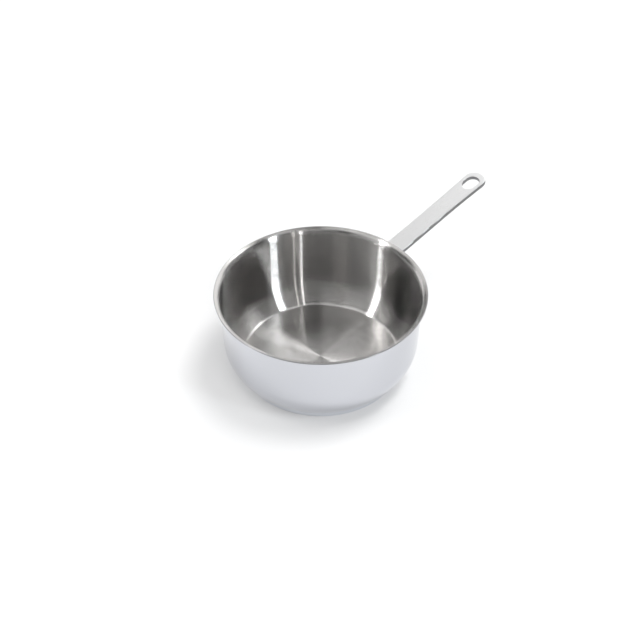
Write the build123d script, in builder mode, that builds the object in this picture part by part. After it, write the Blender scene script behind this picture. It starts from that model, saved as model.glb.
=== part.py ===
from build123d import *
from math import atan2, cos, degrees, radians, sin, sqrt, tan
import os

# A saucier pan: a drawn steel bowl with a flared pouring lip, a sandwich base and a welded bar handle.
# The origin is the centre of the underside, +Z is up and +X runs along the handle. Millimetres.

# Pan body, drawn from one sheet. Radii are those of the surface that faces the food.
height = 97.0
rim_diameter = 220.0
sheet = 1.0
lip_radius = 6.7
lip_edge_round = 0.4
wall_draft = 2.5
corner_radius = 38.5
corner_height = 39.2
crease_radius = 5.0

# Sandwich base: an aluminium disc inside a shallow steel cap.
base_diameter = 169.6
core_thickness = 4.8
cap_sheet = 1.0
cap_edge_round = 1.6

# Handle bar. It rises outwards from just under the lip.
handle_length = 145.0
handle_rise = 9.9
handle_drop = 4.4
handle_bow = 0.6
bar_thickness = 5.0
tip_thickness = 4.5
bar_width = 22.0
tip_width = 24.4
flare_length = 62.0
bar_edge_round = 0.9

# Hanging slot near the tip.
slot_width = 15.3
slot_length = 21.5
slot_land = 7.3
slot_edge_round = 0.5

# Handle foot, a tongue that lies against the wall and is spot welded to it. Its length is counted
# from the bar's upper face at the lip.
foot_length = 40.0
foot_thickness = 3.0
foot_corner = 9.5
bend_radius = 9.0
weld_gap = 0.3
weld_diameter = 5.0
weld_columns = 2
weld_rows = 2
weld_spacing = 10.0
weld_pitch = 16.0

# How far cutting tools run past what they cut.
overrun = 2.0

os.makedirs("parts", exist_ok=True)

# Centres of the arcs that make up the section of the sheet.
draft = radians(wall_draft)
rim_radius = rim_diameter / 2
base_radius = base_diameter / 2
floor_height = cap_sheet + core_thickness + sheet
lip_centre = (rim_radius, height - lip_radius)
corner_centre = (
    rim_radius
    - (lip_radius + corner_radius) / cos(draft)
    - (lip_centre[1] - corner_height) * tan(draft),
    corner_height,
)
crease_rise = corner_height - floor_height - crease_radius
crease_reach = sqrt((corner_radius - crease_radius) ** 2 - crease_rise**2)
crease_centre = (corner_centre[0] + crease_reach, floor_height + crease_radius)
crease_angle = -degrees(atan2(crease_rise, crease_reach))


def wall_radius(level, out):
    """Radius of the straight wall at a level, at a distance out from its inner surface."""
    fall = lip_centre[1] - level
    return rim_radius - (lip_radius - out) / cos(draft) - fall * tan(draft)


def sheet_line(out):
    """Section line from the axis to the end of the lip, at a distance out from the inner surface."""
    floor = Line((0, floor_height - out), (crease_centre[0], floor_height - out))
    CenterArc(crease_centre, crease_radius + out, -90, 90 + crease_angle)
    corner = CenterArc(
        corner_centre, corner_radius + out, crease_angle, -wall_draft - crease_angle
    )
    lip = CenterArc(lip_centre, lip_radius - out, 90, 90 - wall_draft)
    Line(corner @ 1, lip @ 1)
    return floor @ 0, lip @ 0


def filled_bowl(out):
    """Face between the axis and a sheet line: what lies inside that line when it is turned."""
    with BuildSketch(Plane.XZ) as section:
        with BuildLine():
            bottom, lip_end = sheet_line(out)
            Polyline(lip_end, (rim_radius, height), (0, height), bottom)
        make_face()
    return section.sketch


# Everything inside the outer surface of the sheet, and the same with the weld gap added.
with BuildPart() as bowl_outside:
    revolve(filled_bowl(sheet), axis=Axis.Z)

with BuildPart() as bowl_clearance:
    revolve(filled_bowl(sheet + weld_gap), axis=Axis.Z)


# Pan body: floor, crease, corner sweep, drafted wall and a lip that curls out to horizontal.
with BuildPart() as pan_body:
    with BuildSketch(Plane.XZ) as section:
        with BuildLine():
            inner_bottom, inner_end = sheet_line(0)
            outer_bottom, outer_end = sheet_line(sheet)
            Line(inner_bottom, outer_bottom)
            Line(inner_end, outer_end)
        make_face()
        fillet(section.vertices().sort_by(Axis.X)[-2:], lip_edge_round)
    revolve(axis=Axis.Z)

pan_body.part.label = "pan_body"
export_step(pan_body.part, "parts/pan_body.step")


# Base core: a flat disc, its top pressed to the shape of the bowl above it.
core_radius = base_radius - cap_sheet
with BuildPart() as base_core:
    with BuildSketch(Plane.XY.offset(cap_sheet)):
        Circle(core_radius)
    extrude(amount=floor_height)
    fillet(base_core.edges().group_by(Axis.Z)[0], cap_edge_round - cap_sheet)
    add(bowl_outside.part, mode=Mode.SUBTRACT)

base_core.part.label = "base_core"
export_step(base_core.part, "parts/base_core.step")


# Base cap: a shallow dish over the core, with its edge turned up to meet the bowl.
with BuildPart() as base_cap:
    with BuildSketch(Plane.XY):
        Circle(base_radius)
    extrude(amount=floor_height)
    fillet(base_cap.edges().group_by(Axis.Z)[0], cap_edge_round)
    add(bowl_outside.part, mode=Mode.SUBTRACT)
    add(base_core.part, mode=Mode.SUBTRACT)

base_cap.part.label = "base_cap"
export_step(base_cap.part, "parts/base_cap.step")


# Handle foot: a tongue of even thickness, curved to the wall. It starts at the wall's inner face
# here, and the cut at the end of the handle trims it back to the weld gap.
bar_slope = radians(handle_rise)
bar_root = (rim_radius, height - handle_drop)
foot_top = bar_root[1] - bar_thickness / 2 - lip_radius * sin(bar_slope)
foot_end = bar_root[1] - foot_length
foot_inside = sheet + weld_gap
foot_outside = foot_inside + foot_thickness
with BuildPart() as foot:
    with BuildSketch(Plane.XZ):
        with BuildLine():
            Polyline(
                (wall_radius(foot_end, 0), foot_end),
                (wall_radius(foot_end, foot_outside), foot_end),
                (wall_radius(foot_top, foot_outside), foot_top),
                (wall_radius(foot_top, 0), foot_top),
                close=True,
            )
        make_face()
    revolve(axis=Axis.Z)
    with BuildSketch(Plane.YZ) as outline:
        with Locations((0, (foot_end + foot_top) / 2)):
            Rectangle(bar_width, foot_top - foot_end)
        fillet(outline.vertices().group_by(Axis.Y)[0], foot_corner)
    extrude(amount=rim_diameter, mode=Mode.INTERSECT)


# Handle: the bar's side profile, trimmed to its outline, with the foot joined on by a bend.
along = (cos(bar_slope), 0, sin(bar_slope))
across = (-sin(bar_slope), 0, cos(bar_slope))
bar_start = (bar_root[0], 0, bar_root[1])
bar_side = Plane(origin=bar_start, x_dir=along, z_dir=(0, -1, 0))
bar_top = Plane(origin=bar_start, x_dir=along, z_dir=across)
inner_run = lip_radius + foot_outside
tip_centre = handle_length - tip_width / 2
flare_start = tip_centre - flare_length
slot_centre = handle_length - slot_land - slot_length / 2
with BuildPart() as handle:
    with BuildSketch(bar_side):
        with BuildLine():
            upper = ThreePointArc(
                (-inner_run, 0), (handle_length / 2, handle_bow), (handle_length + overrun, 0)
            )
            lower = ThreePointArc(
                (-inner_run, -bar_thickness),
                (handle_length / 2, handle_bow - bar_thickness),
                (handle_length + overrun, -tip_thickness),
            )
            Line(upper @ 0, lower @ 0)
            Line(upper @ 1, lower @ 1)
        make_face()
    extrude(amount=tip_width, both=True)
    with BuildSketch(bar_top):
        with BuildLine():
            side = Line((-inner_run, -bar_width / 2), (flare_start, -bar_width / 2))
            flare = TangentArc(side @ 1, (tip_centre, -tip_width / 2), tangent=side % 1)
            TangentArc(flare @ 1, (tip_centre, tip_width / 2), tangent=flare % 1)
            mirror(side, about=Plane.XZ)
            mirror(flare, about=Plane.XZ)
            Line((-inner_run, -bar_width / 2), (-inner_run, bar_width / 2))
        make_face()
        with Locations((slot_centre, 0)):
            SlotOverall(slot_length, slot_width, mode=Mode.SUBTRACT)
    extrude(amount=tip_width, both=True, mode=Mode.INTERSECT)

    # The slot's rims and the upper outline are rounded while the bar is still alone.
    for end in (0, -1):
        broad_face = handle.faces().sort_by(Axis((0, 0, 0), across))[end]
        fillet(broad_face.inner_wires()[0].edges(), slot_edge_round)
    upper_face = handle.faces().sort_by(Axis((0, 0, 0), across))[-1]
    fillet(upper_face.outer_wire().edges(), bar_edge_round)

    # The bend: where the bar's underside meets the outer face of the foot.
    add(foot.part)
    bend_level = bar_root[1] - bar_thickness
    bend_spot = (wall_radius(bend_level, foot_outside), 0, bend_level)
    fillet(handle.edges().sort_by_distance(bend_spot)[0], bend_radius)

    # The lower outline runs round the underside, the bend and the foot, which are the three
    # largest faces outside the wall that look out and down.
    looks_down = handle.faces().filter_by(
        lambda face: face.normal_at().X > 0 > face.normal_at().Z
        and face.center().X > wall_radius(bend_level, foot_inside)
    )
    *_, bend_face, foot_face, underside = looks_down.sort_by(SortBy.AREA)
    skin_edges = ShapeList([*underside.outer_wire().edges(), *bend_face.edges(), *foot_face.edges()])
    fillet([edge for edge in skin_edges if skin_edges.count(edge) == 1], bar_edge_round)

    # What is left inside the wall's clearance is cut away, so the root follows wall and lip.
    add(bowl_clearance.part, mode=Mode.SUBTRACT)

handle.part.label = "handle"
export_step(handle.part, "parts/handle.step")


# Handle welds: spots that bridge the gap between the foot and the wall.
weld_level = foot_end + (foot_length - bar_thickness) / 2
with BuildPart() as handle_welds:
    with BuildSketch(Plane.YZ):
        with Locations((0, weld_level)):
            with GridLocations(weld_spacing, weld_pitch, weld_columns, weld_rows):
                Circle(weld_diameter / 2)
    extrude(amount=rim_radius)
    add(bowl_clearance.part, mode=Mode.INTERSECT)
    add(bowl_outside.part, mode=Mode.SUBTRACT)

handle_welds.part.label = "handle_welds"
export_step(handle_welds.part, "parts/handle_welds.step")
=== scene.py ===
import math

import bpy
from mathutils import Matrix, Vector


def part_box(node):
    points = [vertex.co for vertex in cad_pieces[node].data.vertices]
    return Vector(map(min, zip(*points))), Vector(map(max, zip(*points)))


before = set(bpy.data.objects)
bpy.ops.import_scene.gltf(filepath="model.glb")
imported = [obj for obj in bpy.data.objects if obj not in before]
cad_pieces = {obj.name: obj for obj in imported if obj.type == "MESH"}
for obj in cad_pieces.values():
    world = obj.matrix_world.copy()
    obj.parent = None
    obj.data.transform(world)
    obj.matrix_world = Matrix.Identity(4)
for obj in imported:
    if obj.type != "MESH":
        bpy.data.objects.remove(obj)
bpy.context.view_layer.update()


# Base core. The thick aluminium disc that spreads the heat under the floor. It is blanked from rolled
# plate and brazed between the bowl and the cap, so nothing of it shows on a finished pan.
core_colour = (0.80, 0.80, 0.81)
core_rough = 0.4
rolled_smooth = 0.3
rolled_dull = 0.5
rolling_lines = (20, 900, 900)
# A noise goes from 0 to 1 about its middle, and nearly all of it lies between the other two.
noise_low = 0.3
noise_middle = 0.5
noise_high = 0.7


def metal_finish(name, colour, roughness):
    """A metal with its own colour and roughness, and the nodes that later lines hang detail on."""
    finish = bpy.data.materials.new(name)
    finish.use_nodes = True
    metal = finish.node_tree.nodes["Principled BSDF"]
    metal.inputs["Metallic"].default_value = 1
    metal.inputs["Base Color"].default_value = (*colour, 1)
    metal.inputs["Roughness"].default_value = roughness
    return finish, finish.node_tree, metal


def shader_step(tree, kind, settings=None, **inputs):
    """One node of a finish. Its inputs are set or linked by name, or by number as in _0."""
    step = tree.nodes.new("ShaderNode" + kind)
    for name, value in (settings or {}).items():
        setattr(step, name, value)
    for name, value in inputs.items():
        socket = step.inputs[int(name[1:]) if name[0] == "_" else name.replace("_", " ")]
        if isinstance(value, bpy.types.NodeSocket):
            tree.links.new(value, socket)
        else:
            socket.default_value = value
    return step


def eased(tree, value, low, high, start, end):
    """Goes smoothly from start to end while value goes from low to high."""
    settings = {"interpolation_type": "SMOOTHSTEP"}
    step = shader_step(tree, "MapRange", settings, Value=value, From_Min=low, From_Max=high,
                       To_Min=start, To_Max=end)
    return step.outputs["Result"]


def unevenness(tree, point, scale=1.0, detail=3.0, roughness=0.5):
    """The small irregularities that a finish has, from 0 to 1."""
    step = shader_step(tree, "TexNoise", Vector=point, Scale=scale, Detail=detail, Roughness=roughness)
    return step.outputs["Fac"]


core, tree, metal = metal_finish("rolled_aluminium", core_colour, core_rough)
point = shader_step(tree, "TexCoord").outputs["Object"]
rolled = shader_step(tree, "Mapping", Vector=point, Scale=rolling_lines).outputs["Vector"]
rolled = unevenness(tree, rolled)
rough = eased(tree, rolled, noise_low, noise_high, rolled_smooth, rolled_dull)
tree.links.new(rough, metal.inputs["Roughness"])
cad_pieces["base_core"].material_slots[0].material = core


# Base cap. A shallow dish of magnetic steel, pressed over the core and brazed to it and to the bowl.
# Its edge is polished with the wall, and its underside is turned on a lathe, which leaves fine rings.
cap_colour = (0.78, 0.80, 0.84)
cap_rough = 0.08
turned_anisotropy = 0.6
# Of a whole turn, so that the gloss stretches across the rings and not along them.
across_the_rings = 0.25
turned_from_edge = 0.004
polished_from_edge = 0.002
turned_dulling = 0.2
rings_per_metre = 2500.0
ring_dulling = 0.06
rub_scale = 45.0
rub_dulling = 0.06
groove_strength = 0.35
groove_depth = 0.0002


def maths(tree, operation, first, second=0.0):
    return shader_step(tree, "Math", {"operation": operation}, _0=first, _1=second).outputs[0]


def place_on_pan(tree):
    """The point of the surface, its X, Y and Z, and how far it is from the pan's axis."""
    point = shader_step(tree, "TexCoord").outputs["Object"]
    x, y, z = shader_step(tree, "SeparateXYZ", Vector=point).outputs
    x_squared = maths(tree, "MULTIPLY", x, x)
    y_squared = maths(tree, "MULTIPLY", y, y)
    radius = maths(tree, "SQRT", maths(tree, "ADD", x_squared, y_squared))
    return point, x, y, z, radius


def way_round(tree):
    """The direction in which a lathe's tool or cloth runs round the pan."""
    return shader_step(tree, "Tangent", {"direction_type": "RADIAL", "axis": "Z"}).outputs[0]


cap, tree, metal = metal_finish("turned_steel", cap_colour, cap_rough)
metal.inputs["Anisotropic"].default_value = turned_anisotropy
metal.inputs["Anisotropic Rotation"].default_value = across_the_rings
tree.links.new(way_round(tree), metal.inputs["Tangent"])
point, x, y, z, radius = place_on_pan(tree)
cap_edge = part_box("base_cap")[1].x
underside = eased(tree, radius, cap_edge - turned_from_edge, cap_edge - polished_from_edge, 1.0, 0.0)
cut_rings = shader_step(tree, "CombineXYZ", X=maths(tree, "MULTIPLY", radius, rings_per_metre),
                        Y=0.0, Z=0.0).outputs[0]
turned = unevenness(tree, cut_rings, detail=2.0)
rubbed = unevenness(tree, point, rub_scale, detail=4.0)
rough = shader_step(tree, "Math", {"operation": "MULTIPLY_ADD"},
                    _0=underside, _1=turned_dulling, _2=cap_rough).outputs[0]
rough = maths(tree, "ADD", rough, maths(tree, "MULTIPLY", turned, ring_dulling))
rough = maths(tree, "ADD", rough, maths(tree, "MULTIPLY", rubbed, rub_dulling))
tree.links.new(rough, metal.inputs["Roughness"])
grooves = shader_step(tree, "Bump", Strength=maths(tree, "MULTIPLY", underside, groove_strength),
                      Distance=groove_depth, Height=turned)
tree.links.new(grooves.outputs[0], metal.inputs["Normal"])
cad_pieces["base_cap"].material_slots[0].material = cap


# Pan body. One sheet of stainless steel, deep drawn and then spun out at the lip. The outside is
# buffed to a mirror, the inside is brushed in circles on the lathe, and the lip's cut edge is dull
# and painted dark as shade, for the dark line under the lip.
outside_colour = (0.61, 0.62, 0.655, 1)
inside_colour = (0.590, 0.580, 0.570, 1)
inside_dark = (0.555, 0.545, 0.535, 1)
# Painted shade: the lip's cut edge is coloured dark for the dark line under the lip.
painted_lip_shade_colour = (0.30, 0.30, 0.31, 1)
buffed_rough = 0.07
wall_rough = 0.14
floor_rough = 0.17
lip_rough = 0.21
cut_rough = 0.35
brushed_anisotropy = 1.0
# How far the strokes of the brush tip the reflection up and down, as a slope.
wall_tilt = 2.1
floor_tilt = 0.75
crease_tilt = 0.65
lip_tilt = 0.55
# Heights between which the floor turns into its crease, the crease into the wall, and the wall into
# the lip, each as the start and the end of the change.
floor_ends = (0.00682, 0.0071)
wall_begins = (0.0076, 0.0092)
lip_begins = (0.0905, 0.0950)
# The cut edge, dulled and painted dark as shade, is this close to the lip's full radius, at the
# start and the end of the change.
cut_edge_near = 0.0005
cut_edge_full = 0.0002
inside_change = 0.1
stroke_scale = 1400.0
stroke_dulling = 0.08
smudge_scale = 28.0
smudge_dulling = 0.05
# Far narrower than a pixel, so that no ring is seen by itself.
ring_width = 0.00001
half = 0.5


def between(tree, share, first, second):
    """A number that goes from the first to the second as the share goes from 0 to 1."""
    return shader_step(tree, "Mix", {"data_type": "FLOAT"}, Factor=share, _2=first, _3=second).outputs[0]


def colour_between(tree, share, first, second):
    return shader_step(tree, "Mix", {"data_type": "RGBA"}, Factor=share, _6=first, _7=second).outputs[2]


def dulled(tree, rough, noise, amount):
    """A roughness that the noise raises or lowers by up to half of the amount."""
    off_middle = maths(tree, "SUBTRACT", noise, noise_middle)
    return maths(tree, "ADD", rough, maths(tree, "MULTIPLY", off_middle, amount))


def which_ring(tree, distance):
    """The number of the fine ring that this distance falls in."""
    return maths(tree, "ROUND", maths(tree, "DIVIDE", distance, ring_width))


steel, tree, metal = metal_finish("drawn_steel", outside_colour[:3], buffed_rough)
metal.inputs["Anisotropic"].default_value = brushed_anisotropy
metal.inputs["Anisotropic Rotation"].default_value = across_the_rings
tree.links.new(way_round(tree), metal.inputs["Tangent"])
point, x, y, z, radius = place_on_pan(tree)

# The inside is where the surface looks up or toward the axis more than it looks outward.
facing = shader_step(tree, "TexCoord").outputs["Normal"]
facing_x, facing_y, facing_z = shader_step(tree, "SeparateXYZ", Vector=facing).outputs
outward = maths(tree, "ADD", maths(tree, "MULTIPLY", facing_x, x), maths(tree, "MULTIPLY", facing_y, y))
outward = maths(tree, "DIVIDE", outward, radius)
inside = eased(tree, maths(tree, "SUBTRACT", facing_z, outward), -inside_change, inside_change, 0.0, 1.0)
lip_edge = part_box("pan_body")[1].y
dull_cut_and_painted_shade = eased(tree, radius, lip_edge - cut_edge_near, lip_edge - cut_edge_full, 0.0, 1.0)
off_floor = eased(tree, z, *floor_ends, 0.0, 1.0)
on_wall = eased(tree, z, *wall_begins, 0.0, 1.0)
on_lip = eased(tree, z, *lip_begins, 0.0, 1.0)

# The strokes of the cloth run round the pan, and differ a little in gloss and shade.
strokes = shader_step(tree, "CombineXYZ", X=maths(tree, "MULTIPLY", radius, stroke_scale),
                      Y=maths(tree, "MULTIPLY", z, stroke_scale),
                      Z=maths(tree, "ARCTAN2", y, x)).outputs[0]
brushed = unevenness(tree, strokes, detail=4.0, roughness=0.6)
smudged = unevenness(tree, point, smudge_scale, detail=4.0, roughness=0.55)
rough = between(tree, on_wall, floor_rough, wall_rough)
rough = between(tree, on_lip, rough, lip_rough)
rough = dulled(tree, rough, brushed, stroke_dulling)
rough = between(tree, inside, buffed_rough, rough)
rough = dulled(tree, rough, smudged, smudge_dulling)
rough = between(tree, dull_cut_and_painted_shade, rough, cut_rough)
tree.links.new(rough, metal.inputs["Roughness"])

# Each stroke is a groove too fine to see, so it shows only as a spread of the reflection up and down.
rings = shader_step(tree, "CombineXYZ", X=which_ring(tree, radius), Y=which_ring(tree, z), Z=0.0)
ring_chance = shader_step(tree, "TexWhiteNoise", Vector=rings.outputs[0]).outputs["Color"]
chances = shader_step(tree, "SeparateColor", Color=ring_chance).outputs
tilt = maths(tree, "MULTIPLY", maths(tree, "SUBTRACT", chances[0], chances[1]), half)
tilt_here = between(tree, off_floor, floor_tilt, crease_tilt)
tilt_here = between(tree, on_wall, tilt_here, wall_tilt)
tilt_here = between(tree, on_lip, tilt_here, lip_tilt)
tilt = maths(tree, "MULTIPLY", maths(tree, "MULTIPLY", tilt, tilt_here), inside)
normal = shader_step(tree, "NewGeometry").outputs["Normal"]
up_the_wall = shader_step(tree, "VectorMath", {"operation": "CROSS_PRODUCT"},
                          _0=normal, _1=way_round(tree)).outputs[0]
tilted = shader_step(tree, "VectorMath", {"operation": "MULTIPLY_ADD"},
                     _0=up_the_wall, _1=tilt, _2=normal).outputs[0]
tilted = shader_step(tree, "VectorMath", {"operation": "NORMALIZE"}, _0=tilted).outputs[0]
tree.links.new(tilted, metal.inputs["Normal"])

colour = colour_between(tree, brushed, inside_dark, inside_colour)
colour = colour_between(tree, inside, outside_colour, colour)
# Painted shade: the lip's cut edge turns dark, for the dark line under the lip.
colour = colour_between(tree, dull_cut_and_painted_shade, colour, painted_lip_shade_colour)
tree.links.new(colour, metal.inputs["Base Color"])
cad_pieces["pan_body"].material_slots[0].material = steel


# Handle welds. Four spots where the foot of the handle is fused to the wall. The metal there is
# left as the electrode leaves it, dull, with the straw and blue of heat on it.
weld_colour = (0.50, 0.49, 0.48)
straw = (0.56, 0.47, 0.34, 1)
blue = (0.34, 0.37, 0.47, 1)
heat_scale = 260.0
heat_low = 0.35
heat_high = 0.65
pit_scale = 900.0
weld_rough = 0.45
weld_smooth = 0.35
weld_dull = 0.6

weld, tree, metal = metal_finish("fused_steel", weld_colour, weld_rough)
point = shader_step(tree, "TexCoord").outputs["Object"]
heat = eased(tree, unevenness(tree, point, heat_scale), heat_low, heat_high, 0.0, 1.0)
tree.links.new(colour_between(tree, heat, straw, blue), metal.inputs["Base Color"])
pitted = unevenness(tree, point, pit_scale)
rough = eased(tree, pitted, noise_low, noise_high, weld_smooth, weld_dull)
tree.links.new(rough, metal.inputs["Roughness"])
cad_pieces["handle_welds"].material_slots[0].material = weld


# Handle. A flat bar of stainless steel, blanked with its hanging slot, bent down into a foot at the
# pan and brushed lengthwise. Its sides and the slot are left as cut, and painted darker than the
# faces as shade on the bar's edges.
bar_colour = (0.83, 0.83, 0.835)
bar_rough = 0.3
brushed_colour = (0.87, 0.87, 0.87, 1)
brushed_dark = (0.84, 0.84, 0.84, 1)
# Painted shade: the sides of the bar, of its slot and of its foot are coloured dark.
painted_edge_shade_colour = (0.21, 0.21, 0.215, 1)
bar_rise = math.radians(9.9)
bar_across = (-math.sin(bar_rise), 0, math.cos(bar_rise))
# How squarely a side has to face its own way, at the start and the end of the change.
side_facing = (0.45, 0.9)
# Distance from the pan's axis at which the bend down into the foot is over.
bend_ends = (0.124, 0.128)
grain_lines = (30, 2600, 1200)
grain_smooth = 0.27
grain_dull = 0.33
handling_scale = 40.0
handling_dulling = 0.08

bar, tree, metal = metal_finish("bar_steel", bar_colour, bar_rough)
point = shader_step(tree, "TexCoord").outputs["Object"]
facing = shader_step(tree, "TexCoord").outputs["Normal"]
flat_on = shader_step(tree, "VectorMath", {"operation": "DOT_PRODUCT"}, _0=facing, _1=bar_across)
flat_on = maths(tree, "ABSOLUTE", flat_on.outputs["Value"])
sideways = maths(tree, "ABSOLUTE", shader_step(tree, "SeparateXYZ", Vector=facing).outputs["Y"])
# Painted shade goes where a face turns sideways, on the bar and on its foot.
painted_edge_shade = eased(tree, flat_on, *side_facing, 1.0, 0.0)
painted_foot_shade = eased(tree, sideways, *side_facing, 0.0, 1.0)
along = shader_step(tree, "SeparateXYZ", Vector=point).outputs["X"]
past_bend = eased(tree, along, *bend_ends, 0.0, 1.0)
painted_edge_shade = between(tree, past_bend, painted_foot_shade, painted_edge_shade)
lengthwise = shader_step(tree, "Mapping", Vector=point, Rotation=(0, bar_rise, 0), Scale=grain_lines)
grain = unevenness(tree, lengthwise.outputs["Vector"], roughness=0.6)
handled = unevenness(tree, point, handling_scale, detail=4.0)
colour = colour_between(tree, grain, brushed_dark, brushed_colour)
# Painted shade: the sideways faces take the dark edge colour.
colour = colour_between(tree, painted_edge_shade, colour, painted_edge_shade_colour)
tree.links.new(colour, metal.inputs["Base Color"])
rough = eased(tree, grain, noise_low, noise_high, grain_smooth, grain_dull)
rough = dulled(tree, rough, handled, handling_dulling)
tree.links.new(rough, metal.inputs["Roughness"])
cad_pieces["handle"].material_slots[0].material = bar


# Floor. A wide sheet of white paper that the pan stands on. Camera, steel and glass see it lifted
# toward white, and it still takes the pan's shadow.
floor_side = 40
paper_colour = (0.68, 0.68, 0.68, 1)
paper_lift = 0.14
white = (1, 1, 1, 1)


def seen_rays(tree):
    """1 for a ray that the camera, a gloss or a clear thing sends out, and 0 for light that falls."""
    rays = shader_step(tree, "LightPath").outputs
    seen = maths(tree, "MAXIMUM", rays["Is Camera Ray"], rays["Is Glossy Ray"])
    return maths(tree, "MAXIMUM", seen, rays["Is Transmission Ray"])


bpy.ops.mesh.primitive_plane_add(size=floor_side)
floor = bpy.context.object
floor.name = "floor"
pale = bpy.data.materials.new("pale_floor")
pale.use_nodes = True
tree = pale.node_tree
paper = tree.nodes["Principled BSDF"]
paper.inputs["Base Color"].default_value = paper_colour
paper.inputs["Roughness"].default_value = 1
paper.inputs["Specular IOR Level"].default_value = 0
paper.inputs["Emission Color"].default_value = white
tree.links.new(maths(tree, "MULTIPLY", seen_rays(tree), paper_lift), paper.inputs["Emission Strength"])
floor.data.materials.append(pale)


# Studio room. Dark, with soft patches of light that the steel mirrors, and a low white backdrop that
# stands all round behind the paper. Directions are in degrees: to the right of straight away from
# the camera, and up from the floor.
camera_azimuth = math.radians(-45)
aside = Vector((math.cos(camera_azimuth), math.sin(camera_azimuth), 0))
away = Vector((-math.sin(camera_azimuth), math.cos(camera_azimuth), 0))
room_light = 0.003
backdrop_fades = (8, 12)
# Left and right end, lower and upper end, half the width of the soft edge, and strength.
light_patches = (
    (-50, 4, 37, 59, 5, 1.02),
    (2, 52, 14, 53, 5, 1.45),
    (-94, 37, -8, 5, 5, 2.8),
    (54, 68, 49, 82, 4, 2.9),
    (-121, -45, 49, 80, 4, 1.1),
    (68, 150, 67, 75, 4, 1.6),
    (150, 190, 53, 75, 4, 1.1),
    (-190, -150, 58, 75, 4, 0.8),
    (-190, -12, 72, 120, 4, 0.95),
    (-148, -114, -10, 45, 2, 0.45),
    (28, 60, 47, 57, 3, 4.6),
    (-62, -36, 8, 34, 4, 1.1),
)

scene = bpy.context.scene
studio = bpy.data.worlds.new("studio")
scene.world = studio
studio.use_nodes = True
tree = studio.node_tree
way = shader_step(tree, "TexCoord").outputs["Generated"]
to_right = shader_step(tree, "VectorMath", {"operation": "DOT_PRODUCT"}, _0=way, _1=aside)
to_back = shader_step(tree, "VectorMath", {"operation": "DOT_PRODUCT"}, _0=way, _1=away)
turn = maths(tree, "ARCTAN2", to_right.outputs["Value"], to_back.outputs["Value"])
turn = maths(tree, "DEGREES", turn)
rise = maths(tree, "ARCSINE", shader_step(tree, "SeparateXYZ", Vector=way).outputs["Z"])
rise = maths(tree, "DEGREES", rise)


def light_patch(left, right, low, high, edge, strength):
    """A soft-edged rectangle of light in the room."""
    left_end = eased(tree, turn, left - edge, left + edge, 0.0, strength)
    right_end = eased(tree, turn, right - edge, right + edge, 1.0, 0.0)
    lower_end = eased(tree, rise, low - edge, low + edge, 0.0, 1.0)
    upper_end = eased(tree, rise, high - edge, high + edge, 1.0, 0.0)
    across = maths(tree, "MULTIPLY", left_end, right_end)
    upward = maths(tree, "MULTIPLY", lower_end, upper_end)
    return maths(tree, "MULTIPLY", across, upward)


room = room_light
for patch in light_patches:
    room = maths(tree, "ADD", room, light_patch(*patch))
backdrop = maths(tree, "MULTIPLY", seen_rays(tree), eased(tree, rise, *backdrop_fades, 1.0, 0.0))
background = tree.nodes["Background"]
background.inputs["Color"].default_value = white
tree.links.new(maths(tree, "MAXIMUM", room, backdrop), background.inputs["Strength"])


# Soft boxes. Four strip lamps, one on either side of the camera and a close pair behind it. Each
# draws one bright upright streak on the inside of the pan, opposite to where it stands.
box_distance = 2.5
right_tint = (0.93, 0.97, 1.0)
plain_tint = (1.0, 1.0, 1.0)
faint_tint = (1.0, 0.98, 0.95)


def toward(azimuth, elevation):
    """The unit vector in a direction of the studio, in degrees as for its patches."""
    turned, raised = math.radians(azimuth), math.radians(elevation)
    level = math.sin(turned) * aside + math.cos(turned) * away
    return math.cos(raised) * level + math.sin(raised) * Vector((0, 0, 1))


def soft_box(name, low, high, width, radiance, tint):
    """A strip lamp between two directions, that faces the pan. Its width is in degrees too."""
    bottom = box_distance * toward(*low)
    top = box_distance * toward(*high)
    middle = (bottom + top) / 2
    back = middle.normalized()
    up = (top - bottom).normalized()
    side = up.cross(back)
    lamp = bpy.data.lights.new(name, "AREA")
    lamp.shape = "RECTANGLE"
    lamp.size = 2 * middle.length * math.tan(math.radians(width / 2))
    lamp.size_y = (top - bottom).length
    lamp.energy = radiance * math.pi * lamp.size * lamp.size_y
    lamp.color = tint
    box = bpy.data.objects.new(name, lamp)
    scene.collection.objects.link(box)
    box.location = middle
    box.rotation_mode = "QUATERNION"
    box.rotation_quaternion = Matrix((side, up, back)).transposed().to_quaternion()
    box.visible_camera = False


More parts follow.
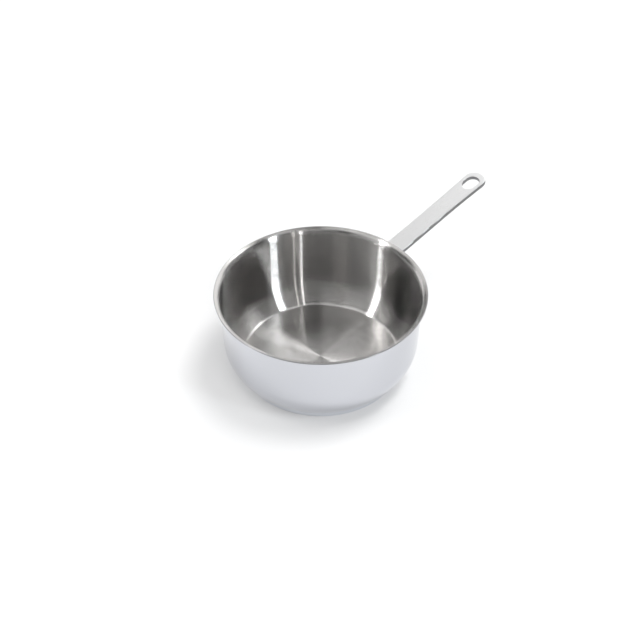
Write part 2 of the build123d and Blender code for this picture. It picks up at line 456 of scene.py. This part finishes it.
soft_box("right_box", low=(125.5, 27), high=(119.5, 48), width=7.0, radiance=16.0, tint=right_tint)
soft_box("left_box", low=(-114, 22), high=(-68, 63), width=3.7, radiance=13.5, tint=plain_tint)
soft_box("thin_box", low=(160, 10), high=(153, 52), width=1.8, radiance=8.0, tint=plain_tint)
soft_box("faint_box", low=(152.5, 10), high=(143.5, 52), width=1.0, radiance=5.0, tint=faint_tint)


# Suns. A soft key from high on the right and a softer fill from behind the camera. They light the
# paper and cast the pan's shadow on it, and the steel doesn't mirror them.
def soft_sun(name, strength, spread, azimuth, elevation):
    """A sun as wide as its spread, in degrees, that shines from a direction of the studio."""
    lamp = bpy.data.lights.new(name, "SUN")
    lamp.energy = strength
    lamp.angle = math.radians(spread)
    sun = bpy.data.objects.new(name, lamp)
    scene.collection.objects.link(sun)
    sun.rotation_mode = "QUATERNION"
    sun.rotation_quaternion = toward(azimuth, elevation).to_track_quat("Z", "Y")
    sun.visible_glossy = False


soft_sun("key", strength=1.3, spread=24, azimuth=72, elevation=71)
soft_sun("fill", strength=0.9, spread=50, azimuth=160, elevation=40)
scene.view_settings.view_transform = "Standard"


# Camera. It stands 1.4 m from the middle of the lip and looks down at it, with the handle pointing
# away to the right. The shift puts the pan's axis on the pixel where the photo has it.
camera_distance = 1.4
camera_elevation = math.radians(39.93)
lens = 76.85
sensor_width = 36
photo_side = 640
axis_pixel = (320.8, 291.0)

lip_middle = Vector((0, 0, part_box("pan_body")[1].z))
back = Vector((
    math.sin(camera_azimuth) * math.cos(camera_elevation),
    -math.cos(camera_azimuth) * math.cos(camera_elevation),
    math.sin(camera_elevation),
))
camera = bpy.data.objects.new("camera", bpy.data.cameras.new("camera"))
scene.collection.objects.link(camera)
camera.location = lip_middle + camera_distance * back
camera.rotation_mode = "QUATERNION"
camera.rotation_quaternion = (-back).to_track_quat("-Z", "Y")
camera.data.lens = lens
camera.data.sensor_width = sensor_width
camera.data.shift_x = (photo_side / 2 - axis_pixel[0]) / photo_side
camera.data.shift_y = (axis_pixel[1] - photo_side / 2) / photo_side
scene.camera = camera
